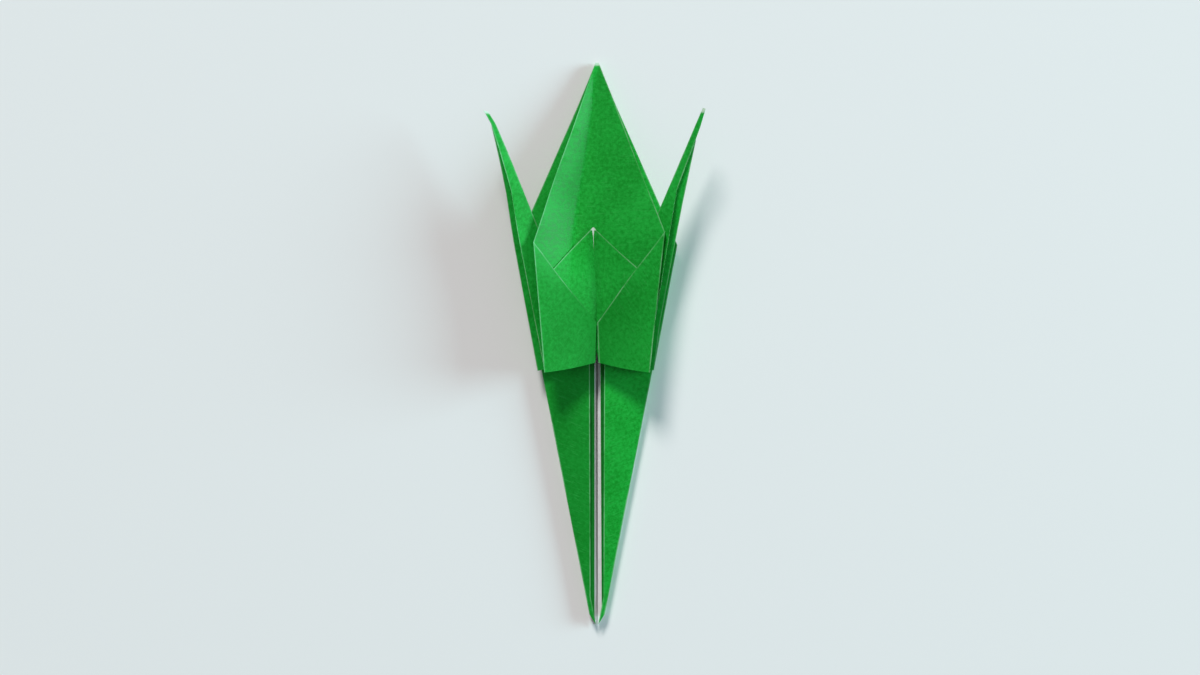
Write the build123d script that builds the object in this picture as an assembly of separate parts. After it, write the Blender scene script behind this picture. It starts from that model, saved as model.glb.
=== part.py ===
"""Origami frog part-way through its folding, from one uncut square of paper.

Millimetres, +Z up. The frog lies on its belly with its nose towards +Y, and
the origin is under its middle. Each half is a stack of four pleats, counted
from the top. The top pleat stands up as a wing, the front legs are reverse
folded out from between the two upper pleats, and the hind legs, from the two
lower pleats, lie straight and closed together.
"""

import os
from math import cos, hypot, radians, sin, sqrt, tan

from build123d import *

# The square and its paper
SHEET_SIDE = 150.0
PAPER_THICKNESS = 0.1
LAYER_GAP = 0.05

# Distances out from the middle line, where the two halves face each other
SPINE_GAP = 0.3
RAW_MEET_GAP = 0.05
RAW_EDGE_GAP = 0.8
LEFT_HIND_RAW_GAP = 0.45
RIGHT_HIND_RAW_GAP = 0.85
NARROW_GAP = 1.4
SLIT_TOP_GAP = 0.1
SLIT_KNEE_GAP = 0.4

# Heights above the table
NOSE_HEIGHT = 0.35
CHEST_HEIGHT = 3.2
KNEE_HEIGHT = 3.7
FRONT_TOE_HEIGHT = 8.6

# Front legs: spine between the two halves, and their outer folded edges
LEG_OPENING = 0.45
UPPER_TOE_INSET = 0.2
RIGHT_LEG_TIP_BACK = 3.0

# Knee crease below the top of the flaps' long folded edges
KNEE_DROP = 6.65

# Corners of the wings, pulled in and up from those of the pleats below them
LEFT_WING_PULL_IN = 2.95
LEFT_WING_PULL_UP = 1.6
RIGHT_WING_PULL_IN = 2.15
RIGHT_WING_PULL_UP = 3.5
WING_KNEE_INSET = 0.55
PLEAT_KNEE_OUTSET = 0.8

# Angles in degrees
RIGHT_ANGLE = 90.0
KNEE_TILT = 12.0
PLEAT_FAN = 1.5
LEFT_WING_TILT = 23.0
RIGHT_WING_TILT = 20.5

LEFT = -1
RIGHT = 1

# Crease pattern, folded flat. A flat place is a pair: its distance out from
# the middle line and its distance down from the nose
half_diagonal = SHEET_SIDE / sqrt(2)
sector_slope = tan(radians(RIGHT_ANGLE / 4))
narrow_slope = tan(radians(RIGHT_ANGLE / 8))
knee_slope = tan(radians(KNEE_TILT))
petal_root = half_diagonal / 2
petal_point = 2 * petal_root - SHEET_SIDE / 2
narrow_end = half_diagonal - NARROW_GAP / sector_slope
narrow_reach = NARROW_GAP + narrow_end * narrow_slope
shoulder_down = narrow_reach / (sector_slope + narrow_slope)
flap_length = hypot(petal_root * sector_slope - NARROW_GAP, narrow_end - petal_root)
flap_top = narrow_end - flap_length
raw_toe_down = half_diagonal - RAW_EDGE_GAP / sector_slope
knee_down = flap_top + KNEE_DROP
knee_out = (narrow_reach - knee_down * narrow_slope) / (1 + knee_slope * narrow_slope)

# Layers of the pleats, counted up from the table. A flap is two layers thick
pitch = PAPER_THICKNESS + LAYER_GAP
flap_pitch = PAPER_THICKNESS + pitch
RISING_LAYERS = ("lining", "cover", "petal", "facing", "flap")
FALLING_LAYERS = tuple(reversed(RISING_LAYERS))
NOSE_LAYERS = (
    ("cover", 4), ("lining", 4), ("lining", 3), ("cover", 3),
    ("cover", 2), ("lining", 2), ("lining", 1), ("cover", 1),
)

level = {}
next_level = 0.0
for number, layers in ((4, FALLING_LAYERS), (3, RISING_LAYERS), (2, FALLING_LAYERS)):
    for layer in layers:
        level[layer, number] = next_level
        next_level += flap_pitch if layer == "flap" else pitch
for count, layer in enumerate(RISING_LAYERS):
    level[layer, 1] = CHEST_HEIGHT + count * pitch

nose_level = {}
for count, key in enumerate(NOSE_LAYERS):
    nose_level[key] = NOSE_HEIGHT + count * pitch

panels = []


def spot(side, place, height):
    """Point in space of a flat place on one side of the frog."""
    out, down = place
    return Vector(side * out, petal_root - down, height)


def at(side, layer, number, place):
    """Point in space of a flat place on one layer of a pleat, below the head."""
    out, down = place
    height = level[layer, number]
    if number == 1:
        tilt = LEFT_WING_TILT if side == LEFT else RIGHT_WING_TILT
        height += (down - shoulder_down) * (KNEE_HEIGHT - CHEST_HEIGHT) / (knee_down - shoulder_down)
    else:
        tilt = (4 - number) * PLEAT_FAN
    return spot(side, place, height + out * tan(radians(tilt)))


def upright_thickness(number):
    """Thickness of a pleat's paper, measured straight up. Both wings have the same."""
    tilt = (LEFT_WING_TILT + RIGHT_WING_TILT) / 2 if number == 1 else (4 - number) * PLEAT_FAN
    return PAPER_THICKNESS / cos(radians(tilt))


def nose_at(side, layer, number, out=SPINE_GAP):
    """Point in space of the nose end of one layer of a pleat."""
    return spot(side, (out, 0), nose_level[layer, number])


def on_knee(out):
    """Flat place on the knee crease at a distance out from the middle line."""
    return (out, knee_down + out * knee_slope)


def across_knee(place):
    """Flat place mirrored over the knee crease by the reverse fold."""
    out, down = place[0], place[1] - knee_down
    tilt = radians(KNEE_TILT)
    along = out * cos(tilt) + down * sin(tilt)
    return (2 * along * cos(tilt) - out, knee_down + 2 * along * sin(tilt) - down)


def panel(corners, thickness):
    """Flat facet of the sheet, with its thickness measured straight up."""
    outline = Face(Wire.make_polygon(corners, close=True))
    panels.append(Solid.extrude(outline, Vector(0, 0, thickness)))


def fold(low_start, low_end, high_end, high_start, inside):
    """Folded edge between two layers: joins the lower edge to the one above it."""
    half_paper = Vector(0, 0, PAPER_THICKNESS / 2)
    run = low_end - low_start
    inward = Vector(-run.Y, run.X, 0).normalized() * PAPER_THICKNESS
    if inward.dot(inside - low_start) < 0:
        inward = -inward
    corners = [corner + half_paper for corner in (low_start, low_end, high_end, high_start)]
    panels.append(Solid.extrude(Face(Wire.make_polygon(corners, close=True)), inward))


def narrow_crease(side, number):
    """Both ends of the crease that narrows a pleat, as flat places."""
    shoulder = (shoulder_down * sector_slope, shoulder_down)
    if number == 1 and side == LEFT:
        shoulder = (shoulder[0] - LEFT_WING_PULL_IN, shoulder[1] - LEFT_WING_PULL_UP)
    elif number == 1:
        shoulder = (shoulder[0] - RIGHT_WING_PULL_IN, shoulder[1] - RIGHT_WING_PULL_UP)
    if number == 1:
        return shoulder, on_knee(knee_out - WING_KNEE_INSET)
    if number == 2:
        return shoulder, on_knee(knee_out + PLEAT_KNEE_OUTSET)
    return shoulder, (NARROW_GAP, narrow_end)


def pleat(side, number):
    """One pleat of one half: head, petal, facing, lining and narrowed flap."""
    shoulder, crease_end = narrow_crease(side, number)
    slope = (shoulder[0] - crease_end[0]) / (crease_end[1] - shoulder[1])
    reach = shoulder[0] + shoulder[1] * slope
    point_down = (petal_point + reach) / (1 + slope)
    root_side = (reach - petal_root * slope, petal_root)
    point_side = (reach - point_down * slope, point_down)
    meets_other_half = number in (1, 4)
    middle = 0 if meets_other_half else SPINE_GAP
    petal_middle = 0 if meets_other_half else SPINE_GAP + pitch
    raw_start = (petal_middle, petal_point)
    if meets_other_half:
        raw_start = (RAW_MEET_GAP, petal_point + RAW_MEET_GAP)
    spine_end = on_knee(SPINE_GAP)
    flap_edge = [on_knee(NARROW_GAP), (NARROW_GAP, flap_top)]
    raw_edge = [on_knee(RAW_EDGE_GAP)]
    if number == 1:
        flap_edge = [on_knee(SLIT_KNEE_GAP), (SLIT_TOP_GAP, flap_top)]
        raw_edge = [on_knee(SLIT_KNEE_GAP), (RAW_MEET_GAP, flap_top)]
    elif number > 2:
        spine_end = (SPINE_GAP, half_diagonal)
        flap_edge = [(NARROW_GAP, flap_top)]
        raw_gap = LEFT_HIND_RAW_GAP if side == LEFT else RIGHT_HIND_RAW_GAP
        raw_edge = [(raw_gap, half_diagonal - raw_gap / sector_slope)]

    def here(layer, place):
        return at(side, layer, number, place)

    thickness = upright_thickness(number)

    def facet(layer, *places, layers=1):
        panel([here(layer, place) for place in places], layers * thickness)

    for layer, inner in (("cover", middle), ("lining", SPINE_GAP)):
        nose = nose_at(side, layer, number, inner)
        panel([nose, here(layer, shoulder), here(layer, (inner, shoulder_down))], thickness)
        if inner < SPINE_GAP:
            panel([nose, nose_at(side, layer, number), here(layer, shoulder)], thickness)
    facet("cover", (middle, shoulder_down), shoulder, root_side, (middle, petal_root))
    facet("lining", (SPINE_GAP, shoulder_down), shoulder, crease_end, spine_end)
    facet("petal", (petal_middle, petal_root), root_side, point_side, (petal_middle, petal_point))
    facet("facing", raw_start, point_side, crease_end, *raw_edge)
    facet("flap", shoulder, crease_end, *flap_edge, layers=2)

    lower, upper = ("lining", "cover") if number % 2 else ("cover", "lining")
    inside = here(lower, (SPINE_GAP, shoulder_down))
    ends = [nose_at(side, lower, number), here(lower, shoulder)]
    ends += [here(upper, shoulder), nose_at(side, upper, number)]
    fold(*ends, inside)
    for first, second, start, end, inside_down in (
        ("lining", "flap", shoulder, crease_end, shoulder_down),
        ("cover", "petal", root_side, (petal_middle, petal_root), petal_point),
        ("petal", "facing", point_side, (petal_middle, petal_point), petal_root),
    ):
        lower, upper = (first, second) if number % 2 else (second, first)
        ends = [here(lower, start), here(lower, end), here(upper, end), here(upper, start)]
        fold(*ends, here(lower, (SPINE_GAP, inside_down)))


def middle_folds(side):
    """Folds along the middle line of one half, from pleat to pleat."""
    outside = spot(side, (NARROW_GAP, 0), 0)
    for layer, low, end in (
        ("lining", 4, (SPINE_GAP, half_diagonal)),
        ("cover", 3, (SPINE_GAP, petal_root)),
        ("lining", 2, on_knee(SPINE_GAP)),
    ):
        high = low - 1
        chest = (SPINE_GAP, shoulder_down)
        low_chest, high_chest = at(side, layer, low, chest), at(side, layer, high, chest)
        fold(nose_at(side, layer, low), low_chest, high_chest, nose_at(side, layer, high), outside)
        fold(low_chest, at(side, layer, low, end), at(side, layer, high, end), high_chest, outside)
    petal_middle = SPINE_GAP + pitch
    root, point = (petal_middle, petal_root), (petal_middle, petal_point)
    ends = [at(side, "petal", 3, root), at(side, "petal", 3, point)]
    ends += [at(side, "petal", 2, point), at(side, "petal", 2, root)]
    fold(*ends, outside)


def front_leg(side):
    """Reverse-folded leg: two halves that meet at a spine and open outwards."""
    spine, raw_knee, flap_knee = on_knee(SPINE_GAP), on_knee(RAW_EDGE_GAP), on_knee(NARROW_GAP)
    toe = across_knee((SPINE_GAP, half_diagonal))
    raw_toe = across_knee((RAW_EDGE_GAP, raw_toe_down))
    narrow_toe = across_knee((NARROW_GAP, narrow_end))
    run_out, run_down = toe[0] - spine[0], toe[1] - spine[1]
    length = hypot(run_out, run_down)
    spine_height = at(side, "lining", 2, spine).Z + pitch
    climb = (FRONT_TOE_HEIGHT - spine_height) / length
    body_side = spot(side, (NARROW_GAP, shoulder_down), 0)

    def on_half(start_height, knee, knee_height):
        """Plane of one half: through its spine and through the outer end of its knee."""
        def split(place):
            out, down = place[0] - spine[0], place[1] - spine[1]
            along = (run_out * out + run_down * down) / length
            away = (run_out * down - run_down * out) / length
            return along, away

        along, away = split(knee)
        spread = (knee_height - start_height - along * climb) / away

        def put(place, offset=0):
            along, away = split(place)
            return spot(side, place, start_height + along * climb + away * spread + offset)

        return put, PAPER_THICKNESS * sqrt(1 + climb**2 + spread**2)

    def edge_end(number, knee):
        """Toe end of the folded edge of one half."""
        if number == 1:
            inset = UPPER_TOE_INSET / length
            return (narrow_toe[0] + inset * run_down, narrow_toe[1] - inset * run_out)
        back = RIGHT_LEG_TIP_BACK / hypot(knee[0] - narrow_toe[0], knee[1] - narrow_toe[1])
        if side == LEFT:
            back = 0
        return tuple(end + back * (start - end) for start, end in zip(knee, narrow_toe))

    upper_spine = spine_height + LEG_OPENING
    halves = []
    for number, start_height, step in ((2, spine_height, pitch), (1, upper_spine, -pitch)):
        knee = narrow_crease(side, number)[1]
        edge_toe = edge_end(number, knee)
        put, thickness = on_half(start_height, knee, at(side, "lining", number, knee).Z + step)
        flap_step = 2 * step if step > 0 else 2 * step - PAPER_THICKNESS
        panel([put(place) for place in (spine, knee, edge_toe, toe)], thickness)
        panel([put(place, step) for place in (raw_knee, knee, edge_toe, raw_toe)], thickness)
        panel([put(place, flap_step) for place in (flap_knee, knee, edge_toe)], 2 * thickness)

        low, high = min(0, flap_step), max(0, flap_step)
        edge = [put(knee, low), put(edge_toe, low), put(edge_toe, high), put(knee, high)]
        fold(*edge, put(spine))
        knee_folds = (("lining", 0, spine, flap_knee), ("flap", flap_step, flap_knee, knee))
        for layer, offset, start, end in knee_folds:
            body = [at(side, layer, number, start), at(side, layer, number, end)]
            leg = [put(end, offset), put(start, offset)]
            fold(*body, *leg, body_side)
        halves.append(put)
    lower, upper = halves
    fold(lower(spine), lower(toe), upper(toe), upper(spine), lower(narrow_crease(side, 2)[1]))


for side in (LEFT, RIGHT):
    for number in (4, 3, 2, 1):
        pleat(side, number)
    middle_folds(side)
    front_leg(side)

folded_sheet = panels[0].fuse(*panels[1:])

os.makedirs("parts", exist_ok=True)
export_step(folded_sheet, "parts/folded_sheet.step")
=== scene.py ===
"""Origami frog, part-way folded: one square of green paper with a white back.

The sheet is laid facet by facet along the same folds as its solid. Lengths are
worked out in millimetres and written to the meshes in metres.
"""

from math import atan2, cos, hypot, pi, radians, sin, sqrt, tan

import bmesh
import bpy
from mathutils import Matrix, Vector, noise


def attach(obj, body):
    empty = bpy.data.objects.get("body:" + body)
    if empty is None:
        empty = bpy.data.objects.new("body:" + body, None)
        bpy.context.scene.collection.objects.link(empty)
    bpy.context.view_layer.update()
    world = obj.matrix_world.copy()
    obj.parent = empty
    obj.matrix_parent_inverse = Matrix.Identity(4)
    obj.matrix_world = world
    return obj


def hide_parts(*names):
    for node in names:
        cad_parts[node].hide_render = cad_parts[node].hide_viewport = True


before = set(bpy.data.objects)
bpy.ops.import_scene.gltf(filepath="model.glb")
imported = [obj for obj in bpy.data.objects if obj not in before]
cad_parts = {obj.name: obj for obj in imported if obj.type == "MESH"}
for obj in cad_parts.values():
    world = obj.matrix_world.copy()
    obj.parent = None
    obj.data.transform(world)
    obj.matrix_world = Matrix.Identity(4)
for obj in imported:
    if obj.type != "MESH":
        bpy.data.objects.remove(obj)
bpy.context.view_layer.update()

MM = 0.001
LEFT, RIGHT = -1, 1

# Pleats of each half, counted down from the wing on top
WING, SECOND, THIRD, BOTTOM = 1, 2, 3, 4

# Where a point of the sheet is: on a wing, on a front leg or elsewhere
ON_WING, ON_BODY, ON_LEG = 1.0, 0.0, -1.0

# The square and its paper
SHEET_SIDE = 150.0
PAPER_THICKNESS = 0.1
LAYER_GAP = 0.05
SHOWN_THICKNESS = 0.08

# Middle of the first and of the second of two pressed layers, in thicknesses of the paper
FIRST_LAYER_SHARE, SECOND_LAYER_SHARE = 0.5, 1.5

# Distances out from the middle line
SPINE_GAP = 0.3
NOSE_GAP = 0.03
RAW_EDGE_GAP = 0.8
NARROW_GAP = 1.4
SLIT_TOP_GAP = 0.1
SLIT_KNEE_GAP = 0.4
RAW_MEET_GAP = 0.015
RAW_KNEE_GAP = 0.3
HIND_SPINE_GAP = 0.14
HIND_RAW_GAP = {LEFT: 0.45, RIGHT: 0.85}
HIND_FLAP_GAP = 0.25

# Ends of the raw edges and of the hind flaps
RAW_PART_DROP = 0.2
HIND_TOE_DROP = 1.2
HIND_FLAP_TRIM = 0.3
HIND_TAIL_INSET = 0.15
HIND_TAIL_RISE = 2.2

# Heights above the table
NOSE_HEIGHT = 0.35
CHEST_HEIGHT = 3.2
KNEE_HEIGHT = 3.7
FRONT_TOE_HEIGHT = 8.6
LEG_OPENING = 0.45

# Knee crease, wing corners and the pleats that show past them
KNEE_DROP = 6.65
WING_PULL_IN = {LEFT: 2.95, RIGHT: 2.15}
WING_PULL_UP = {LEFT: 1.6, RIGHT: 3.5}
WING_KNEE_INSET = 0.55
PLEAT_KNEE_OUTSET = {LEFT: 0.8, RIGHT: 0.3}
PLEAT_SPREAD_OUT = {SECOND: 0.3, THIRD: 0.15, BOTTOM: 0.0}
PLEAT_SPREAD_UP = {SECOND: 1.2, THIRD: 0.6, BOTTOM: 0.0}

# Edges and tips of the front legs
RIGHT_LEG_TIP_BACK = 3.0
LOWER_TOE_INSET = {LEFT: 0.25, RIGHT: 0.6}
UPPER_TOE_INSET = {LEFT: 0.3, RIGHT: 0.2}
UPPER_LEG_INSET = {LEFT: 0.6, RIGHT: 1.6}
LEG_EDGE_BOW = {LEFT: 0.55, RIGHT: 0.2}
LEG_BOW_SHARE = 0.72
LEG_SPINE_TRIM = {LEFT: 0.9, RIGHT: 0.35}
LEG_TIP_TRIM = 0.35
LOWER_TIP_WIDTH = 0.2
UPPER_TIP_WIDTH = 0.55

# Angles in degrees
SECTOR_ANGLE = 22.5
KNEE_TILT = 12.0
PLEAT_FAN = 1.5
WING_TILT = {LEFT: 23.0, RIGHT: 20.5}

# Lift of the free corners. A span says how far down from the nose a bend starts and ends
FLAP_LIFT = 0.3
FLAP_LIFT_CURVE = 1.5
POINT_LIFT_SHARE = 0.6
HIND_LIFT = {LEFT: 1.1, RIGHT: 0.7}
HIND_LIFT_SPAN = (58, 68)

# Soft ridge on the left wing
RIDGE_SLOPE = 0.115
RIDGE_START = 0.003
RIDGE_DIP_SHARE = 0.60
RIDGE_ROUNDING_SHARE = 0.003
RIDGE_FADE_SPAN = (26, 44)
NARROWEST_WING = 0.01

# Rolled lower edges of the wings
KNEE_ROLL = 0.75
KNEE_ROLL_TAPER_SHARE = 0.35
KNEE_ROLL_LENGTH = 7.0
KNEE_SAG = 0.22

# Small flap's point, pushed to the left: from how far down, and how far out the push fades
SMALL_FLAP_SHIFT = 0.7
SHIFT_START = 12
SHIFT_FADE = (4, 11)

# Lean of the front legs. Shares are of the leg's length from its knee
LEFT_LEG_HOOK = 0.65
HOOK_RISE_SHARES = (0.45, 0.9)
HOOK_FADE_SHARES = (0.95, 1.0)
RIGHT_LEG_LEAN = 1.0
LEAN_START_SHARE = 0.2
LEG_STRETCH = {LEFT: 0.5, RIGHT: 0.8}

# Slight waves of the paper, which settle towards the table
WAVE_HEIGHT = 0.16
WAVE_WIDTH = 17
WAVE_LENGTH = 23
WAVE_SLICE = 0.3
WAVE_SETTLE_HEIGHT = 1.5

# Cuts that let the facets bend, and how near points count as one
CUT_STEP = 1.8
CUT_REACH_OUT = 21.0
RIDGE_CUTS = (-0.6, -0.2, 0.2, 0.6)
CUT_TOLERANCE = 0.0001
JOIN_DISTANCE = 0.001
SHORTEST_EDGE = 1e-6

# Part of the head whose top face has to look up, and the angle past which a fold looks sharp
HEAD_START = 20
HEAD_HALF_WIDTH = 3
SHARP_ANGLE = 25

# Distances kept for each corner of a facet, to its own folds. Where there is no fold, it is far
FOLDS_KEPT = 4
FAR = 50.0

# Crease pattern, folded flat: places are (out from the middle, down from the nose)
half_diagonal = SHEET_SIDE / sqrt(2)
sector_slope = tan(radians(SECTOR_ANGLE))
narrow_slope = tan(radians(SECTOR_ANGLE / 2))
knee_slope = tan(radians(KNEE_TILT))
petal_root = half_diagonal / 2
petal_point = 2 * petal_root - SHEET_SIDE / 2
narrow_end = half_diagonal - NARROW_GAP / sector_slope
narrow_reach = NARROW_GAP + narrow_end * narrow_slope
shoulder_down = narrow_reach / (sector_slope + narrow_slope)
flap_length = hypot(petal_root * sector_slope - NARROW_GAP, narrow_end - petal_root)
flap_top = narrow_end - flap_length
raw_toe_down = half_diagonal - RAW_EDGE_GAP / sector_slope
knee_down = flap_top + KNEE_DROP
knee_out = (narrow_reach - knee_down * narrow_slope) / (1 + knee_slope * narrow_slope)
leg_length = half_diagonal - knee_down
hind_flap_toe = (HIND_FLAP_GAP, half_diagonal - HIND_FLAP_TRIM)
hind_flap_tail = (NARROW_GAP - HIND_TAIL_INSET, narrow_end - HIND_TAIL_RISE)

# Layers of the pleats, counted up from the table
pitch = PAPER_THICKNESS + LAYER_GAP
flap_pitch = PAPER_THICKNESS + pitch
RISING = ("lining", "cover", "petal", "facing", "flap")
FALLING = tuple(reversed(RISING))
NOSE_LAYERS = (
    ("cover", BOTTOM), ("lining", BOTTOM), ("lining", THIRD), ("cover", THIRD),
    ("cover", SECOND), ("lining", SECOND), ("lining", WING), ("cover", WING),
)

level = {}
next_level = 0.0
for number, layers in ((BOTTOM, FALLING), (THIRD, RISING), (SECOND, FALLING)):
    for layer in layers:
        level[layer, number] = next_level
        next_level += flap_pitch if layer == "flap" else pitch
for count, layer in enumerate(RISING):
    level[layer, WING] = CHEST_HEIGHT + count * pitch
nose_level = {key: NOSE_HEIGHT + count * pitch for count, key in enumerate(NOSE_LAYERS)}

# Where each pleat lies on the flat sheet: the diagonal to its corner and the
# line to its edge's middle, in degrees round the sheet's middle
FRONT_CORNER = {LEFT: 135.0, RIGHT: 45.0}
HIND_CORNER = {LEFT: 225.0, RIGHT: -45.0}
FRONT_MIDDLE = {LEFT: 90.0, RIGHT: 90.0}
SIDE_MIDDLE = {LEFT: 180.0, RIGHT: 0.0}
HIND_MIDDLE = {LEFT: 270.0, RIGHT: -90.0}
PLEAT_DIAGONAL = {WING: FRONT_CORNER, SECOND: FRONT_CORNER, THIRD: HIND_CORNER, BOTTOM: HIND_CORNER}
PLEAT_MEDIAN = {WING: FRONT_MIDDLE, SECOND: SIDE_MIDDLE, THIRD: SIDE_MIDDLE, BOTTOM: HIND_MIDDLE}

facets = []


def mirrored(place, start, end):
    """Flat place mirrored over the line through two others."""
    run_out, run_down = end[0] - start[0], end[1] - start[1]
    away_out, away_down = place[0] - start[0], place[1] - start[1]
    share = (away_out * run_out + away_down * run_down) / (run_out**2 + run_down**2)
    return (2 * (start[0] + share * run_out) - place[0], 2 * (start[1] + share * run_down) - place[1])


def on_sheet(side, number, layer, place):
    """Millimetres from the middle of the unfolded sheet, for a place on a layer of a pleat."""
    toe = (0.0, half_diagonal)
    root_corner = (petal_root * sector_slope, petal_root)
    if layer.endswith("flap"):
        place = mirrored(place, *narrow_crease(side, number))
        layer = "lining" if layer == "outer flap" else "facing"
    if layer == "facing":
        place = mirrored(place, toe, root_corner)
        layer = "lining"
    if layer == "petal":
        place = (place[0], 2 * petal_root - place[1])
        layer = "cover"
    diagonal, median = PLEAT_DIAGONAL[number][side], PLEAT_MEDIAN[number][side]
    turn = 1 if median > diagonal else -1
    reach, swing = hypot(*place), atan2(place[0], place[1])
    if layer == "lining":
        angle = radians(diagonal) + turn * swing
    else:
        angle = radians(median) - turn * swing
    return (reach * cos(angle), reach * sin(angle))


def spot(side, place, height):
    """Point in space of a flat place on one side of the frog."""
    out, down = place
    return Vector((side * out, petal_root - down, height))


def pleat_tilt(side, number):
    """How steeply a pleat rises outwards, in degrees."""
    return WING_TILT[side] if number == WING else (BOTTOM - number) * PLEAT_FAN


def upright_thickness(number):
    """Thickness of a pleat's paper, measured straight up. Both wings share one."""
    tilt = sum(WING_TILT.values()) / 2 if number == WING else (BOTTOM - number) * PLEAT_FAN
    return PAPER_THICKNESS / cos(radians(tilt))


def rises(number):
    """Whether a pleat's layers lie in rising order, the lining lowest."""
    return number in (WING, THIRD)


def flap_share(layer, number):
    """Middle of a layer above its level, in paper thicknesses. A flap has two layers."""
    if not layer.endswith("flap"):
        return FIRST_LAYER_SHARE
    return SECOND_LAYER_SHARE if (layer == "outer flap") == rises(number) else FIRST_LAYER_SHARE


def at(side, layer, number, place):
    """Point in space of a flat place on the middle of one layer of a pleat."""
    out, down = place
    name = "flap" if layer.endswith("flap") else layer
    height = level[name, number] + flap_share(layer, number) * upright_thickness(number)
    if number == WING:
        height += (down - shoulder_down) * (KNEE_HEIGHT - CHEST_HEIGHT) / (knee_down - shoulder_down)
    return spot(side, place, height + out * tan(radians(pleat_tilt(side, number))))


def nose_place(number):
    """Flat place of a pleat's nose end. The top and bottom ones are blunt, the others close up."""
    return (SPINE_GAP if number in (WING, BOTTOM) else NOSE_GAP, 0)


def nose_at(side, layer, number, place=None):
    """Point in space of the nose end of one layer of a pleat."""
    place = place or nose_place(number)
    return spot(side, place, nose_level[layer, number] + upright_thickness(number) / 2)


def on_knee(out):
    """Flat place on the knee crease, at a distance out from the middle."""
    return (out, knee_down + out * knee_slope)


def across_knee(place):
    """Flat place mirrored over the knee crease by the reverse fold."""
    return mirrored(place, on_knee(0), on_knee(1))


def narrow_crease(side, number):
    """Both ends of the crease that narrows a pleat, as flat places."""
    out, down = shoulder_down * sector_slope, shoulder_down
    if number == WING:
        shoulder = (out - WING_PULL_IN[side], down - WING_PULL_UP[side])
        return shoulder, on_knee(knee_out - WING_KNEE_INSET)
    shoulder = (out + PLEAT_SPREAD_OUT[number], down - PLEAT_SPREAD_UP[number])
    if number == SECOND:
        return shoulder, on_knee(knee_out + PLEAT_KNEE_OUTSET[side])
    return shoulder, (NARROW_GAP, narrow_end + HIND_TOE_DROP)


def green_up(layer, number):
    """Whether a layer of a pleat has its green side up."""
    return (layer in ("cover", "facing", "outer flap")) == rises(number)


def lay(points, flats, edges, upwards, region, lifts=None):
    """One facet: corners in space, corners on the flat sheet, and the kind of each edge.

    An edge runs from its corner to the next one and is folded (f), raw (r) or joined flat (-).
    """
    area = sum(a.x * b.y - b.x * a.y for a, b in zip(points, points[1:] + points[:1]))
    lifts = lifts or [0.0] * len(points)
    if (area > 0) != upwards:
        points, flats, lifts = points[::-1], flats[::-1], lifts[::-1]
        edges = edges[-2::-1] + edges[-1]
    facets.append((points, flats, edges, [region] * len(points), lifts))


def strip(first, second, first_flats, second_flats, regions, lifts=(0.0, 0.0), kind="f"):
    """Turned paper of a fold, between the edges of two layers."""
    points = [first[1], first[0], second[0], second[1]]
    flats = [first_flats[1], first_flats[0], second_flats[0], second_flats[1]]
    regions = [regions[0], regions[0], regions[1], regions[1]]
    facets.append((points, flats, 4 * kind, regions, [lifts[1], lifts[0], lifts[0], lifts[1]]))


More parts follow.
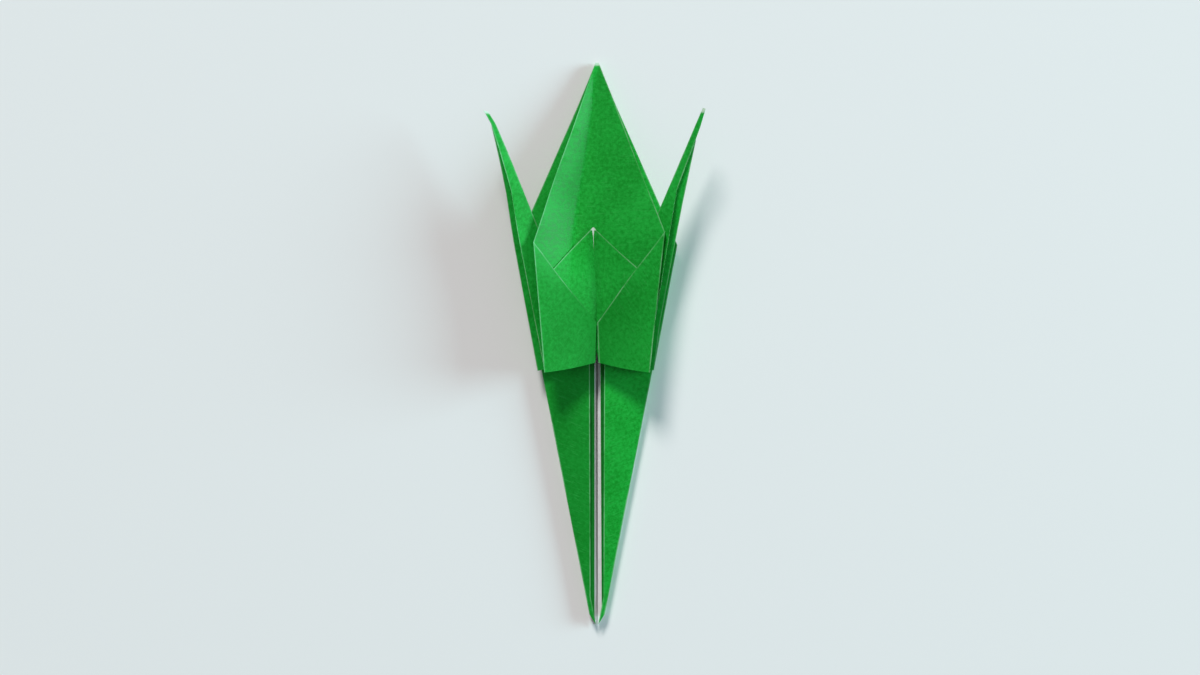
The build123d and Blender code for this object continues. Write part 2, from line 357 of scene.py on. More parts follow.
def pleat(side, number):
    """One pleat of one half: head, petal, facing, lining and narrowed flap."""
    shoulder, crease_end = narrow_crease(side, number)
    slope = (shoulder[0] - crease_end[0]) / (crease_end[1] - shoulder[1])
    reach = shoulder[0] + shoulder[1] * slope
    point_down = (petal_point + reach) / (1 + slope)
    root_side = (reach - petal_root * slope, petal_root)
    point_side = (reach - point_down * slope, point_down)
    meets_other_half = number in (WING, BOTTOM)
    middle = 0 if meets_other_half else SPINE_GAP
    petal_middle = 0 if meets_other_half else SPINE_GAP + pitch
    raw_start = (petal_middle, petal_point)
    if meets_other_half:
        raw_start = (RAW_MEET_GAP, petal_point + RAW_MEET_GAP)
    spine_end, raw_edge = on_knee(SPINE_GAP), [on_knee(RAW_EDGE_GAP)]
    flap_corner, flap_end = (NARROW_GAP, flap_top), [on_knee(NARROW_GAP)]
    if number == WING:
        flap_corner, flap_end = (SLIT_TOP_GAP, flap_top), [on_knee(SLIT_KNEE_GAP)]
        raw_edge = [on_knee(RAW_KNEE_GAP), (RAW_MEET_GAP, petal_root + RAW_PART_DROP)]
    elif number in (THIRD, BOTTOM):
        flap_end = [hind_flap_toe, hind_flap_tail]
        raw_gap = HIND_RAW_GAP[side]
        spine_end = (HIND_SPINE_GAP, half_diagonal)
        raw_edge = [(raw_gap, half_diagonal - raw_gap / sector_slope)]
    region = ON_WING if number == WING else ON_BODY

    def here(layer, *places):
        """Points in space of places on one layer of this pleat."""
        return [at(side, layer, number, place) for place in places]

    def flat(layer, *places):
        """The same places on the unfolded sheet."""
        return [on_sheet(side, number, layer, place) for place in places]

    def lift_of(place):
        """The free corners of the top and hind flaps lift, and so does the small flap's point."""
        if place == flap_corner:
            return 1.0 if number in (WING, THIRD) else 0.0
        at_point = place in (raw_start, (petal_middle, petal_point))
        return POINT_LIFT_SHARE if number == WING and at_point else 0.0

    def facet(layer, edges, *places):
        """Lays one panel of a layer, from its corners."""
        lifts = [lift_of(place) for place in places]
        lay(here(layer, *places), flat(layer, *places), edges, green_up(layer, number), region, lifts)

    def turned(first, second, start, end):
        """Lays the fold that joins two layers along a line."""
        runs = here(first, start, end), here(second, start, end)
        flats = flat(first, start, end), flat(second, start, end)
        strip(*runs, *flats, (region, region), (lift_of(start), lift_of(end)))

    for layer, inner in (("cover", middle), ("lining", SPINE_GAP)):
        nose = nose_at(side, layer, number)
        points = [nose, *here(layer, shoulder, (inner, shoulder_down))]
        flats = flat(layer, nose_place(number), shoulder, (inner, shoulder_down))
        edges = "f-f"
        if inner < SPINE_GAP:
            points.append(nose_at(side, layer, number, (inner, 0)))
            flats += flat(layer, (inner, 0))
            edges = "f---"
        lay(points, flats, edges, green_up(layer, number), region)

    cover_places = [(middle, shoulder_down), shoulder, root_side, (petal_middle, petal_root)]
    petal_places = [(petal_middle, petal_root), root_side, point_side, (petal_middle, petal_point)]
    if meets_other_half:
        petal_places.insert(3, raw_start)
        cover_edges, petal_edges = "-ff-", "ffff-"
    else:
        cover_places.append((middle, petal_root))
        cover_edges, petal_edges = "-ffff", "ffff"
    facet("cover", cover_edges, *cover_places)
    facet("lining", "-f-f", (SPINE_GAP, shoulder_down), shoulder, crease_end, spine_end)
    facet("petal", petal_edges, *petal_places)
    facet("facing", "ff-" + "r" * len(raw_edge), raw_start, point_side, crease_end, *raw_edge)
    for layer, extra in (("outer flap", []), ("inner flap", [point_side])):
        places = [shoulder, *extra, crease_end, *flap_end, flap_corner]
        facet(layer, "f" * (1 + len(extra)) + "-" + "f" * (len(flap_end) + 1), *places)

    turned_nose = [nose_at(side, "cover", number), *here("cover", shoulder)]
    under_nose = [nose_at(side, "lining", number), *here("lining", shoulder)]
    nose_flats = [flat(layer, nose_place(number), shoulder) for layer in ("cover", "lining")]
    strip(turned_nose, under_nose, *nose_flats, (region, region))
    turned("lining", "outer flap", shoulder, crease_end)
    turned("facing", "inner flap", point_side, crease_end)
    turned("cover", "petal", root_side, (petal_middle, petal_root))
    turned("petal", "facing", point_side, raw_start)

    free_edge = [shoulder, flap_corner, *reversed(flap_end)]
    for start, end in zip(free_edge, free_edge[1:]):
        turned("outer flap", "inner flap", start, end)


def middle_folds(side):
    """Folds along the middle line of one half, from pleat to pleat."""
    petal_middle = SPINE_GAP + pitch
    chest = (SPINE_GAP, shoulder_down)
    for layer, low, start, end in (
        ("lining", BOTTOM, chest, (HIND_SPINE_GAP, half_diagonal)),
        ("cover", THIRD, chest, (SPINE_GAP, petal_root)),
        ("lining", SECOND, chest, on_knee(SPINE_GAP)),
        ("petal", THIRD, (petal_middle, petal_root), (petal_middle, petal_point)),
    ):
        pair = (low, low - 1)
        regions = (ON_BODY, ON_WING if pair[1] == WING else ON_BODY)
        runs = [[at(side, layer, number, place) for place in (start, end)] for number in pair]
        flats = [[on_sheet(side, number, layer, place) for place in (start, end)] for number in pair]
        strip(*runs, *flats, regions)
        if layer != "petal":
            runs = [[nose_at(side, layer, number), at(side, layer, number, chest)] for number in pair]
            flats = []
            for number in pair:
                places = (nose_place(number), chest)
                flats.append([on_sheet(side, number, layer, place) for place in places])
            strip(*runs, *flats, regions)


def front_leg(side):
    """Reverse-folded leg: two halves that meet at a spine and open outwards."""
    spine, raw_knee = on_knee(SPINE_GAP), on_knee(RAW_EDGE_GAP)
    toe = across_knee((SPINE_GAP, half_diagonal - LEG_SPINE_TRIM[side]))
    raw_toe = across_knee((RAW_EDGE_GAP, raw_toe_down))
    narrow_toe = across_knee((NARROW_GAP, narrow_end))
    run_out, run_down = toe[0] - spine[0], toe[1] - spine[1]
    length = hypot(run_out, run_down)
    spine_height = level["lining", SECOND] + spine[0] * tan(radians(pleat_tilt(side, SECOND))) + pitch
    climb = (FRONT_TOE_HEIGHT - spine_height) / length

    def split(place):
        """How far a place lies along the spine, and how far away from it."""
        out, down = place[0] - spine[0], place[1] - spine[1]
        return (run_out * out + run_down * down) / length, (run_out * down - run_down * out) / length

    def nearer_spine(place, distance):
        """A place of the leg moved towards its spine."""
        return (place[0] + distance * run_down / length, place[1] - distance * run_out / length)

    halves = []
    for number, start_height, step in (
        (SECOND, spine_height, pitch),
        (WING, spine_height + LEG_OPENING, -pitch),
    ):
        top_half = number == WING
        knee = narrow_crease(side, number)[1]
        knee_height = at(side, "lining", number, knee).z - upright_thickness(number) / 2 + step
        along, away = split(knee)
        spread = (knee_height - start_height - along * climb) / away
        thickness = PAPER_THICKNESS * sqrt(1 + climb**2 + spread**2)
        flap_step = 2 * step - PAPER_THICKNESS if top_half else 2 * step
        inner_share, outer_share = FIRST_LAYER_SHARE, SECOND_LAYER_SHARE
        if top_half:
            inner_share, outer_share = outer_share, inner_share
        offsets = {
            "lining": thickness / 2,
            "facing": step + thickness / 2,
            "inner flap": flap_step + inner_share * thickness,
            "outer flap": flap_step + outer_share * thickness,
        }

        def put(layer, *places, start_height=start_height, spread=spread, offsets=offsets):
            """Points in space of places on one layer of this half of the leg."""
            points = []
            for place in places:
                along, away = split(place)
                height = start_height + along * climb + away * spread + offsets[layer]
                points.append(spot(side, place, height))
            return points

        def flat(layer, *places, number=number):
            """The same places on the unfolded sheet."""
            return [on_sheet(side, number, layer, across_knee(place)) for place in places]

        def facet(layer, edges, upwards, *places):
            """Lays one panel of a layer, from its corners."""
            lay(put(layer, *places), flat(layer, *places), edges, upwards, ON_LEG)

        tip_width = UPPER_TIP_WIDTH if top_half else LOWER_TIP_WIDTH
        toe_inset = UPPER_TOE_INSET[side] if top_half else LOWER_TOE_INSET[side]
        edge_inset = LEG_EDGE_BOW[side] + (UPPER_LEG_INSET[side] if top_half else 0.0)
        tip = across_knee((SPINE_GAP + tip_width, half_diagonal - LEG_TIP_TRIM))
        flap_knee = on_knee(SLIT_KNEE_GAP if top_half else NARROW_GAP)
        edge_toe = nearer_spine(narrow_toe, toe_inset)
        if side == RIGHT and not top_half:
            back = RIGHT_LEG_TIP_BACK / hypot(knee[0] - edge_toe[0], knee[1] - edge_toe[1])
            edge_toe = tuple(start + back * (end - start) for start, end in zip(edge_toe, knee))
        on_edge = [start + LEG_BOW_SHARE * (end - start) for start, end in zip(knee, edge_toe)]
        edge_middle = nearer_spine(on_edge, edge_inset)
        facet("lining", "-ff--f", top_half, spine, knee, edge_middle, edge_toe, tip, toe)
        facet("facing", "-ff-r", not top_half, raw_knee, knee, edge_middle, edge_toe, raw_toe)
        facet("inner flap", "-fff", top_half, flap_knee, knee, edge_middle, edge_toe)
        facet("outer flap", "-fff", not top_half, flap_knee, knee, edge_middle, edge_toe)
        for first, second, start, end in (
            ("lining", "outer flap", knee, edge_middle),
            ("lining", "outer flap", edge_middle, edge_toe),
            ("facing", "inner flap", knee, edge_middle),
            ("facing", "inner flap", edge_middle, edge_toe),
            ("inner flap", "outer flap", flap_knee, edge_toe),
        ):
            runs = put(first, start, end), put(second, start, end)
            strip(*runs, flat(first, start, end), flat(second, start, end), (ON_LEG, ON_LEG))
        regions = (ON_WING if top_half else ON_BODY, ON_LEG)
        for layer, start in (("lining", spine), ("outer flap", flap_knee)):
            body = [at(side, layer, number, place) for place in (start, knee)]
            flats = [on_sheet(side, number, layer, place) for place in (start, knee)]
            strip(body, put(layer, start, knee), flats, flat(layer, start, knee), regions, kind="-")
        halves.append((put("lining", spine, toe), flat("lining", spine, toe)))
    (lower, lower_flats), (upper, upper_flats) = halves
    strip(lower, upper, lower_flats, upper_flats, (ON_LEG, ON_LEG))


def edge_distances(flats, edges, kind):
    """For each corner of a facet, its distance on the sheet from each edge of one kind."""
    rows = [[] for _ in flats]
    for start, mark in enumerate(edges):
        if mark != kind:
            continue
        a, b = flats[start], flats[(start + 1) % len(flats)]
        run = hypot(b[0] - a[0], b[1] - a[1])
        for row, place in zip(rows, flats):
            if run < SHORTEST_EDGE:
                row.append(0.0)
            else:
                across = (b[0] - a[0]) * (place[1] - a[1]) - (b[1] - a[1]) * (place[0] - a[0])
                row.append(abs(across) / run)
    return rows


def kept(layers, name):
    """A layer of values on the sheet's points or corners, made when it is first asked for."""
    return layers.get(name) or layers.new(name)


def lay_sheet():
    """Lays every facet from a filled ring of corners and joins them. The sheet stays in edit mode."""
    bpy.ops.object.select_all(action="DESELECT")
    bpy.ops.mesh.primitive_circle_add(vertices=3, radius=MM, fill_type="NGON")
    sheet = bpy.context.active_object
    sheet.name = sheet.data.name = "green_sheet"
    bpy.ops.object.mode_set(mode="EDIT")
    bpy.ops.mesh.select_all(action="SELECT")
    bpy.ops.mesh.delete(type="VERT")
    mesh = sheet.data
    for points, flats, edges, regions, lifts in facets:
        bpy.ops.mesh.primitive_circle_add(vertices=len(points), radius=MM, fill_type="NGON")
        shape = bmesh.from_edit_mesh(mesh)
        uv = kept(shape.loops.layers.uv, "sheet")
        folds = kept(shape.loops.layers.float_color, "folds")
        raw = kept(shape.loops.layers.float, "raw")
        region = kept(shape.verts.layers.float, "region")
        lift = kept(shape.verts.layers.float, "lift")
        face = [face for face in shape.faces if face.select][0]
        fold_rows = edge_distances(flats, edges, "f")
        raw_rows = edge_distances(flats, edges, "r")
        for count, loop in enumerate(face.loops):
            loop.vert.co = points[count] * MM
            loop.vert[region] = regions[count]
            loop.vert[lift] = lifts[count]
            loop[uv].uv = [distance / SHEET_SIDE + 0.5 for distance in flats[count]]
            loop[folds] = (fold_rows[count] + [FAR] * FOLDS_KEPT)[:FOLDS_KEPT]
            loop[raw] = ([FAR] + raw_rows[count])[-1]
        bmesh.update_edit_mesh(mesh)
    bpy.ops.mesh.select_all(action="SELECT")
    bpy.ops.mesh.remove_doubles(threshold=JOIN_DISTANCE * MM)
    return sheet


def cut(place, normal):
    """Cuts the whole sheet along a plane."""
    bpy.ops.mesh.select_all(action="SELECT")
    bpy.ops.mesh.bisect(plane_co=place, plane_no=normal, threshold=CUT_TOLERANCE * MM)


def cut_sheet():
    """Cuts the sheet across, along and beside the ridge, so that its facets can bend."""
    for axis, reach in ((Vector((1, 0, 0)), CUT_REACH_OUT), (Vector((0, 1, 0)), petal_root)):
        count = int(reach // CUT_STEP)
        for step in range(-count, count + 1):
            cut(axis * (step + 0.5) * CUT_STEP * MM, axis)
    for shift in RIDGE_CUTS:
        cut((shift * MM, petal_root * MM, 0), (1, -RIDGE_SLOPE, 0))
    bpy.ops.mesh.select_all(action="SELECT")
    bpy.ops.mesh.quads_convert_to_tris()
    bpy.ops.mesh.normals_make_consistent(inside=False)
    bpy.ops.object.mode_set(mode="OBJECT")


def eased(value, start, end):
    """Share of the way from start to end, with a soft start and a soft stop."""
    share = min(1.0, max(0.0, (value - start) / (end - start)))
    return share * share * (3 - 2 * share)


def ridge_dip(out, down):
    """How far the left wing dips towards its ridge, which runs from the nose and fades at the flaps."""
    shoulder, knee = narrow_crease(LEFT, WING)
    if down < shoulder[1]:
        edge = max(NARROWEST_WING, down * shoulder[0] / shoulder[1])
    else:
        edge = shoulder[0] + (knee[0] - shoulder[0]) * (down - shoulder[1]) / (knee[1] - shoulder[1])
    place = max(RIDGE_START, RIDGE_SLOPE * down)
    away = abs(out - place) / (place if out < place else max(NARROWEST_WING, edge - place))
    depth = max(0.0, 1 - sqrt(away**2 + RIDGE_ROUNDING_SHARE))
    return RIDGE_DIP_SHARE * place * depth * (1 - eased(down, *RIDGE_FADE_SPAN))


def knee_roll(out, down):
    """How far the rolled lower edge of a wing stands past its knee crease."""
    share = min(1.0, out / knee_out)
    knee = knee_down + out * knee_slope
    near = eased(down, knee - KNEE_ROLL_LENGTH, knee)
    return near * (KNEE_ROLL * (1 - KNEE_ROLL_TAPER_SHARE * share) + KNEE_SAG * sin(pi * share))


def point_shift(out, down):
    """How far the paper round the small flap's point is pushed to the left."""
    along = eased(down, SHIFT_START, petal_point) * (1 - eased(down, petal_point, flap_top))
    return SMALL_FLAP_SHIFT * along * (1 - eased(out, *SHIFT_FADE))


def leg_shift(side, out, down):
    """How far a front leg moves to the right and stretches. The left one hooks, the right one leans."""
    share = max(0.0, on_knee(out)[1] - down) / leg_length
    if side == LEFT:
        aside = LEFT_LEG_HOOK * eased(share, *HOOK_RISE_SHARES) * (1 - eased(share, *HOOK_FADE_SHARES))
    else:
        aside = -RIGHT_LEG_LEAN * (eased(share, 0, LEAN_START_SHARE) + share) / 2
    return aside, LEG_STRETCH[side] * share


def bend(sheet):
    """Bends the flat facets: lifted corners, soft ridge, rolled edges, leaning legs and slight waves."""
    regions = sheet.data.attributes["region"].data
    lifts = sheet.data.attributes["lift"].data
    for vertex, region, lift in zip(sheet.data.vertices, regions, lifts):
        x, y, z = vertex.co / MM
        side = LEFT if x < 0 else RIGHT
        out, down = abs(x), petal_root - y
        wing = max(0.0, region.value)
        settle = min(1.0, max(0.0, z / WAVE_SETTLE_HEIGHT))
        z += WAVE_HEIGHT * settle * noise.noise(Vector((x / WAVE_WIDTH, y / WAVE_LENGTH, WAVE_SLICE)))
        if wing > ON_WING / 2:
            z += FLAP_LIFT * lift.value**FLAP_LIFT_CURVE
        else:
            z += HIND_LIFT[side] * lift.value * eased(down, *HIND_LIFT_SPAN)
        if side == LEFT:
            z -= wing * ridge_dip(out, down)
        vertex.co.x -= wing * point_shift(out, down) * MM
        vertex.co.y -= wing * knee_roll(out, down) * MM
        vertex.co.z = z * MM
        if region.value < ON_BODY:
            aside, stretch = leg_shift(side, out, down)
            vertex.co.x += aside * MM
            vertex.co.y += stretch * MM


def turn_green_out(sheet):
    """Turns all faces over if the top of the head shows its white side."""
    head = []
    for face in sheet.data.polygons:
        if face.center.y > HEAD_START * MM and abs(face.center.x) < HEAD_HALF_WIDTH * MM:
            head.append(face)
    if max(head, key=lambda face: face.center.z).normal.z < 0:
        bpy.ops.object.mode_set(mode="EDIT")
        bpy.ops.mesh.select_all(action="SELECT")
        bpy.ops.mesh.flip_normals()
        bpy.ops.object.mode_set(mode="OBJECT")


def thicken(sheet):
    """Gives the sheet its paper thickness: green outside, white inside, pale at the raw edges."""
    bpy.context.view_layer.objects.active = sheet
    paper = sheet.modifiers.new("thicken", "SOLIDIFY")
    paper.thickness = SHOWN_THICKNESS * MM
    paper.offset = 0
    paper.use_even_offset = False
    paper.material_offset = WHITE_SLOT
    paper.material_offset_rim = RAW_EDGE_SLOT
    bpy.ops.object.modifier_apply(modifier="thicken")
    bpy.ops.object.shade_smooth_by_angle(angle=radians(SHARP_ANGLE))


# Places of the white side and of the raw edge among the sheet's materials, after the green side
WHITE_SLOT, RAW_EDGE_SLOT = 1, 2

# Colours of the green side
DARK_GREEN = (0.0040, 0.245, 0.0165, 1)
LIGHT_GREEN = (0.0130, 0.400, 0.0430, 1)
# Painted shade: darker green for the left hind leg and the middle of the body
PAINTED_SHADE_GREEN = (0.0030, 0.150, 0.0110, 1)
# Painted shade: darker green for the recesses beside the raw edges
RECESS_SHADE_GREEN = (0.0025, 0.105, 0.0085, 1)
FIBRE_GREEN = (0.07, 0.50, 0.12, 1)
WORN_GREEN = (0.24, 0.56, 0.28, 1)
TIP_PALE = (0.60, 0.76, 0.60, 1)
CUT_WHITE = (0.74, 0.78, 0.72, 1)

# Bright and shaded colour of the white side and of the raw edge
WHITE_SIDE_COLOURS = ((0.80, 0.80, 0.78, 1), (0.72, 0.73, 0.70, 1))
RAW_EDGE_COLOURS = ((0.76, 0.79, 0.75, 1), (0.60, 0.68, 0.60, 1))

# Patterns on the flat sheet: how many to the millimetre, how detailed and how rough
CLOUDS = (0.11, 2.0, 0.5)
MOTTLE = (1.5, 5.0, 0.65)
WHITE_MOTTLE = (0.9, 5.0, 0.6)
GRAIN = (4.2, 2.0, 0.5)
RUBBING = (0.7, 4.0, 0.5)
HANDLING = (0.09, 1.0, 0.5)

# Fibres: how many to the millimetre along and across them, and how they lie, in degrees
FIBRE_SCALE = (0.35, 4.5, 1)
FIBRE_DETAIL = 2.0
FIBRE_TURNS = (25, 112)

# Bands go from where a pattern, a wear or a painted shade starts to where it is full.
# A band of four also has the values at its start and at its end
FIBRE_BAND = (0.60, 0.74)
TONE_BAND = (0.36, 0.64)
WHITE_TONE_BAND = (0.35, 0.65)
WORN_BAND = (0.38, 0.12)
RUBBED_BAND = (0.30, 0.62, 0.25, 0.8)
HANDLED_BAND = (0.36, 0.56, 0.25, 1.0)
# Painted shade: the left hind leg darker towards its corner
LEFT_HIND_SHADE_BAND = (80, 40, 0.0, 0.55)
# Painted shade: the middle of the body darker near the top flaps' corners
MIDDLE_SHADE_BAND = {LEFT: (24, 3, 0.0, 0.42), RIGHT: (15, 3, 0.0, 0.35)}
LESS_WORN_BAND = (4, 13, 0.08, 1.0)
HIND_BAND = (0.5, -0.5)
# Painted shade in the recesses beside the raw edges, strongest in the hind legs' slit
RECESS_SHADE_BAND = (1.3, 0.7)
RECESS_SHADE_HIND_BAND = (0.0, 1.0, 0.12, 0.6)
BARE_BAND = (1.9, 0.9)
CUT_BAND = (0.05, 0.02)
CUT_POINT_BAND = (4.5, 1.5)
TIP_BAND = (1.25, 0.75)
GREEN_ROUGHNESS_BAND = (0.3, 0.7, 0.37, 0.49)
WHITE_ROUGHNESS_BAND = (0.3, 0.7, 0.7, 0.85)

# Shares of each pattern in the tone and in the relief, and of each wear in the colour
MOTTLE_TONE_SHARE = 0.55
CLOUD_TONE_SHARE = 0.25
GRAIN_TONE_SHARE = 0.2
FIBRE_TONE_SHARE = 0.22
GRAIN_RELIEF_SHARE = 0.5
MOTTLE_RELIEF_SHARE = 0.5
FIBRE_RELIEF_SHARE = 0.25
WHITE_FIBRE_RELIEF_SHARE = 0.4
TIP_SHARE = 0.85

# Wear: how ragged folds and tips are, how wide the small flap's bare edge is,
# how much further the legs' tips are pale, and how much rougher worn paper is
WORN_RAGGED = 0.22
TIP_RAGGED = 0.8
BARE_WIDTH = 0.09
LEG_TIP_EXTRA = 0.7
WORN_ROUGHNESS = 0.2

# Gloss of the green side and depth of the relief
GREEN_GLOSS = 0.12
RELIEF_DEPTH = 0.03
GREEN_RELIEF_STRENGTH = 0.22
WHITE_RELIEF_STRENGTH = 0.2


class Paper:
    """A paper material, with helpers that add its nodes and link their sockets."""

    def __init__(self, name):
        self.material = bpy.data.materials.new(name)
        self.material.use_nodes = True
        self.tree = self.material.node_tree
        self.shader = self.tree.nodes["Principled BSDF"]
        share = self.add("UVMap", {"uv_map": "sheet"}).outputs[0]
        self.flat = self.add("VectorMath", {"operation": "SCALE"}, i0=share, Scale=SHEET_SIDE).outputs[0]

    def add(self, kind, settings=None, **inputs):
        """A node with its settings. An input is a socket's name, or i and its number."""
        node = self.tree.nodes.new("ShaderNode" + kind)
        for key, value in (settings or {}).items():
            setattr(node, key, value)
        for key, value in inputs.items():
            name = int(key[1:]) if key[1:].isdigit() else key.replace("_", " ")
            if isinstance(value, bpy.types.NodeSocket):
                self.tree.links.new(value, node.inputs[name])
            else:
                node.inputs[name].default_value = value
        return node

    def sums(self, operation, first, second):
        """Two values put together by one operation."""
        return self.add("Math", {"operation": operation}, i0=first, i1=second).outputs[0]

    def times(self, first, second):
        """Product of two values."""
        return self.sums("MULTIPLY", first, second)

    def plus(self, first, second):
        """Sum of two values."""
        return self.sums("ADD", first, second)

    def ramp(self, value, start, end, low=0.0, high=1.0):
        """A soft step from low to high, as a value goes from start to end."""
        settings = {"interpolation_type": "SMOOTHSTEP"}
        limits = {"From_Min": start, "From_Max": end, "To_Min": low, "To_Max": high}
        return self.add("MapRange", settings, Value=value, **limits).outputs[0]

    def blend(self, share, first, second):
        """A share of the second colour over the first."""
        return self.add("Mix", {"data_type": "RGBA"}, i0=share, i6=first, i7=second).outputs[2]

    def pattern(self, scale, detail, roughness):
        """An uneven pattern that lies on the flat sheet."""
        inputs = {"Scale": scale, "Detail": detail, "Roughness": roughness}
        return self.add("TexNoise", Vector=self.flat, **inputs).outputs[0]

    def distance(self, start, place):
        """Millimetres on the sheet from a fixed place."""
        return self.add("VectorMath", {"operation": "DISTANCE"}, i0=start, i1=place).outputs["Value"]

    def fibres(self):
        """Sparse short fibres that lie two ways in the paper."""
        ways = []
        for turn in FIBRE_TURNS:
            laid = self.add("Mapping", i0=self.flat, i2=(0, 0, radians(turn)), i3=FIBRE_SCALE).outputs[0]
            threads = self.add("TexNoise", Vector=laid, Scale=1.0, Detail=FIBRE_DETAIL).outputs[0]
            ways.append(self.ramp(threads, *FIBRE_BAND))
        return self.sums("MAXIMUM", *ways)

    def finish(self, colour, roughness, relief, strength):
        """Links the finished colour, roughness and relief to the shader."""
        bump = self.add("Bump", Strength=strength, Distance=RELIEF_DEPTH * MM, Height=relief).outputs[0]
        for name, value in (("Base Color", colour), ("Roughness", roughness), ("Normal", bump)):
            self.tree.links.new(value, self.shader.inputs[name])
        return self.material


def worn_folds(paper, from_corner):
    """How worn the folds are: pale and broken lines, fainter near the left top flap's corner."""
    folds = paper.add("Attribute", {"attribute_name": "folds"})
    near = folds.outputs["Alpha"]
    for part in paper.add("SeparateColor", i0=folds.outputs["Color"]).outputs:
        near = paper.sums("MINIMUM", near, part)
    rubbing = paper.pattern(*RUBBING)
    handling = paper.pattern(*HANDLING)
    worn = paper.ramp(paper.plus(near, paper.times(rubbing, WORN_RAGGED)), *WORN_BAND)
    worn = paper.times(worn, paper.ramp(rubbing, *RUBBED_BAND))
    worn = paper.times(worn, paper.ramp(handling, *HANDLED_BAND))
    return paper.times(worn, paper.ramp(from_corner[LEFT], *LESS_WORN_BAND))


def recess_shade_and_cut(paper, centred):
    """How far painted shade darkens the paper beside its raw edges, most in the hind legs' slit, and how
    far their white cut shows.
    """
    half = SHEET_SIDE / 2
    raw = paper.add("Attribute", {"attribute_name": "raw"}).outputs["Fac"]
    forwards = paper.add("SeparateXYZ", i0=centred).outputs[1]
    hind = paper.ramp(forwards, *HIND_BAND)
    # Painted shade beside the raw edges, strongest in the hind legs' slit
    recess_shade = paper.times(paper.ramp(raw, *RECESS_SHADE_BAND), paper.ramp(hind, *RECESS_SHADE_HIND_BAND))
    from_point = paper.distance(centred, (0, half, 0))
    bare = paper.times(paper.ramp(from_point, *BARE_BAND), BARE_WIDTH)
    cut_edge = paper.ramp(paper.sums("SUBTRACT", raw, bare), *CUT_BAND)
    shown = paper.sums("MAXIMUM", hind, paper.ramp(from_point, *CUT_POINT_BAND))
    return recess_shade, paper.times(cut_edge, shown)


def pale_tips(paper, centred, mottle):
    """How pale the sheet is at its middle, its corners and the middles of its edges, where tips are."""
    half = SHEET_SIDE / 2
    quarter = paper.add("VectorMath", {"operation": "ABSOLUTE"}, i0=centred).outputs[0]
    tip = paper.sums("SUBTRACT", paper.distance(quarter, (half, half, 0)), LEG_TIP_EXTRA)
    for place in ((0, 0, 0), (half, 0, 0), (0, half, 0)):
        tip = paper.sums("MINIMUM", tip, paper.distance(quarter, place))
    return paper.ramp(paper.plus(tip, paper.times(mottle, TIP_RAGGED)), *TIP_BAND)


def green_side():
    """Printed side: mottled green, with pale worn folds and white tips and raw edges, and painted shade
    on the left hind leg, in the middle of the body and beside the raw edges.
    """
    paper = Paper("green_side")
    paper.shader.inputs["Specular IOR Level"].default_value = GREEN_GLOSS
    middle = (SHEET_SIDE / 2, SHEET_SIDE / 2, 0)
    centred = paper.add("VectorMath", {"operation": "SUBTRACT"}, i0=paper.flat, i1=middle).outputs[0]
    clouds = paper.pattern(*CLOUDS)
    mottle = paper.pattern(*MOTTLE)
    grain = paper.pattern(*GRAIN)
    threads = paper.fibres()
    from_corner, middle_shade = {}, {}
    for side in (LEFT, RIGHT):
        flap_corner = on_sheet(side, WING, "outer flap", (SLIT_TOP_GAP, flap_top))
        from_corner[side] = paper.distance(centred, (*flap_corner, 0))
        # Painted shade near each top flap's corner
        middle_shade[side] = paper.ramp(from_corner[side], *MIDDLE_SHADE_BAND[side])
    worn = worn_folds(paper, from_corner)
    recess_shade, cut_edge = recess_shade_and_cut(paper, centred)
    tips = pale_tips(paper, centred, mottle)

    tone = paper.plus(paper.times(mottle, MOTTLE_TONE_SHARE), paper.times(clouds, CLOUD_TONE_SHARE))
    tone = paper.plus(tone, paper.times(grain, GRAIN_TONE_SHARE))
    colour = paper.blend(paper.ramp(tone, *TONE_BAND), DARK_GREEN, LIGHT_GREEN)
    from_left_hind = paper.distance(paper.flat, (0, 0, 0))
    # Painted shade: the left hind leg darker towards its corner
    colour = paper.blend(paper.ramp(from_left_hind, *LEFT_HIND_SHADE_BAND), colour, PAINTED_SHADE_GREEN)
    colour = paper.blend(paper.times(threads, FIBRE_TONE_SHARE), colour, FIBRE_GREEN)
    # Painted shade: the middle of the body darker near the top flaps' corners
    colour = paper.blend(paper.sums("MAXIMUM", middle_shade[LEFT], middle_shade[RIGHT]), colour, PAINTED_SHADE_GREEN)
    colour = paper.blend(worn, colour, WORN_GREEN)
    # Painted shade in the recesses beside the raw edges
    colour = paper.blend(recess_shade, colour, RECESS_SHADE_GREEN)
    colour = paper.blend(paper.times(tips, TIP_SHARE), colour, TIP_PALE)
    colour = paper.blend(cut_edge, colour, CUT_WHITE)

    roughness = paper.plus(paper.ramp(mottle, *GREEN_ROUGHNESS_BAND), paper.times(worn, WORN_ROUGHNESS))
    relief = paper.plus(paper.times(grain, GRAIN_RELIEF_SHARE), paper.times(mottle, MOTTLE_RELIEF_SHARE))
    relief = paper.plus(relief, paper.times(threads, FIBRE_RELIEF_SHARE))
    return paper.finish(colour, roughness, relief, GREEN_RELIEF_STRENGTH)


def white_side(name, bright, shade):
    """Unprinted side, or the cut edge of the paper."""
    paper = Paper(name)
    mottle = paper.pattern(*WHITE_MOTTLE)
    colour = paper.blend(paper.ramp(mottle, *WHITE_TONE_BAND), shade, bright)
    roughness = paper.ramp(mottle, *WHITE_ROUGHNESS_BAND)
    relief = paper.plus(mottle, paper.times(paper.fibres(), WHITE_FIBRE_RELIEF_SHARE))
    return paper.finish(colour, roughness, relief, WHITE_RELIEF_STRENGTH)


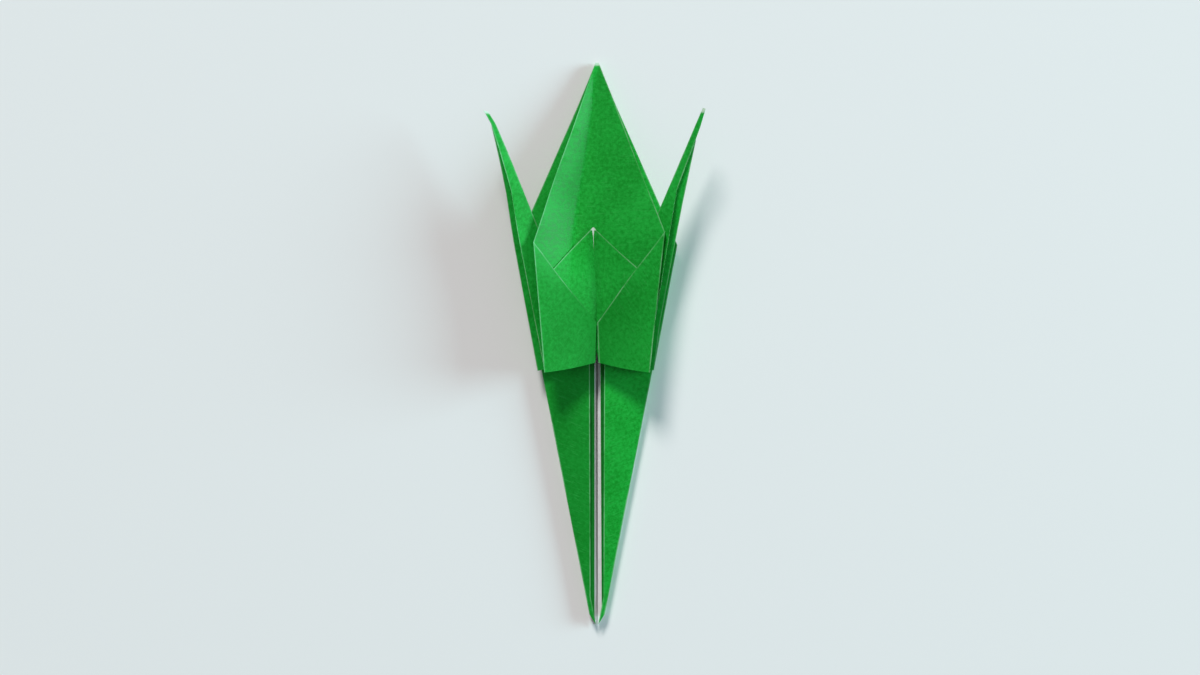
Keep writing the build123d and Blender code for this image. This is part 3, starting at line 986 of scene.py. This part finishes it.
# The sheet: folded, cut, bent, coloured and given its thickness
for side in (LEFT, RIGHT):
    for number in (BOTTOM, THIRD, SECOND, WING):
        pleat(side, number)
    middle_folds(side)
    front_leg(side)
sheet = lay_sheet()
cut_sheet()
bend(sheet)
turn_green_out(sheet)
sheet.data.materials.clear()
sheet.data.materials.append(green_side())
sheet.data.materials.append(white_side("white_side", *WHITE_SIDE_COLOURS))
sheet.data.materials.append(white_side("raw_edge", *RAW_EDGE_COLOURS))
thicken(sheet)

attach(sheet, "root")
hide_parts("folded_sheet")

# Floor, light and camera, in metres. The frame has its width at its level above the floor
FLOOR_SIZE = 3.0
FLOOR_COLOUR = (0.80, 0.775, 0.76, 1)
FLOOR_ROUGHNESS = 0.9
FLOOR_GLOSS = 0.1
WINDOW_PLACE = (-1.03, 3.75, 2.63)
WINDOW_SIZE = 1.25
WINDOW_POWER = 206.0
WINDOW_COLOUR = (1.0, 1.0, 1.0)
COOL_PLACE = (2.48, 0.40, 0.80)
COOL_SIZE = 1.20
COOL_POWER = 76.0
COOL_COLOUR = (0.56, 0.92, 1.0)
ROOM_COLOUR = (0.9, 0.95, 1, 1)
ROOM_STRENGTH = 0.22
CAMERA_PLACE = (0.00056, 0.0013, 0.5)
FRAME_WIDTH = 0.2253
FRAME_LEVEL = 0.003
SENSOR_WIDTH = 36


def soft_lamp(name, place, size, power, colour):
    """A round soft lamp that shines at the frog's middle."""
    bpy.ops.object.light_add(type="AREA", location=place)
    lamp = bpy.context.active_object
    lamp.name = name
    lamp.data.shape = "DISK"
    lamp.data.size = size
    lamp.data.energy = power
    lamp.data.color = colour
    lamp.rotation_euler = (-Vector(place)).to_track_quat("-Z", "Y").to_euler()


bpy.ops.object.select_all(action="DESELECT")
bpy.ops.mesh.primitive_plane_add(size=FLOOR_SIZE, location=(0, 0, 0))
floor = bpy.context.active_object
floor.name = "floor"
pale = bpy.data.materials.new("pale_floor")
pale.use_nodes = True
pale_shader = pale.node_tree.nodes["Principled BSDF"]
pale_shader.inputs["Base Color"].default_value = FLOOR_COLOUR
pale_shader.inputs["Roughness"].default_value = FLOOR_ROUGHNESS
pale_shader.inputs["Specular IOR Level"].default_value = FLOOR_GLOSS
floor.data.materials.append(pale)

soft_lamp("window", WINDOW_PLACE, WINDOW_SIZE, WINDOW_POWER, WINDOW_COLOUR)
soft_lamp("cool_side", COOL_PLACE, COOL_SIZE, COOL_POWER, COOL_COLOUR)
world = bpy.data.worlds.new("room")
bpy.context.scene.world = world
world.use_nodes = True
world.node_tree.nodes["Background"].inputs["Color"].default_value = ROOM_COLOUR
world.node_tree.nodes["Background"].inputs["Strength"].default_value = ROOM_STRENGTH

bpy.ops.object.camera_add(location=CAMERA_PLACE, rotation=(0, 0, 0))
camera = bpy.context.active_object
camera.data.sensor_width = SENSOR_WIDTH
camera.data.lens = SENSOR_WIDTH * (CAMERA_PLACE[2] - FRAME_LEVEL) / FRAME_WIDTH
bpy.context.scene.camera = camera
bpy.context.scene.view_settings.view_transform = "Standard"
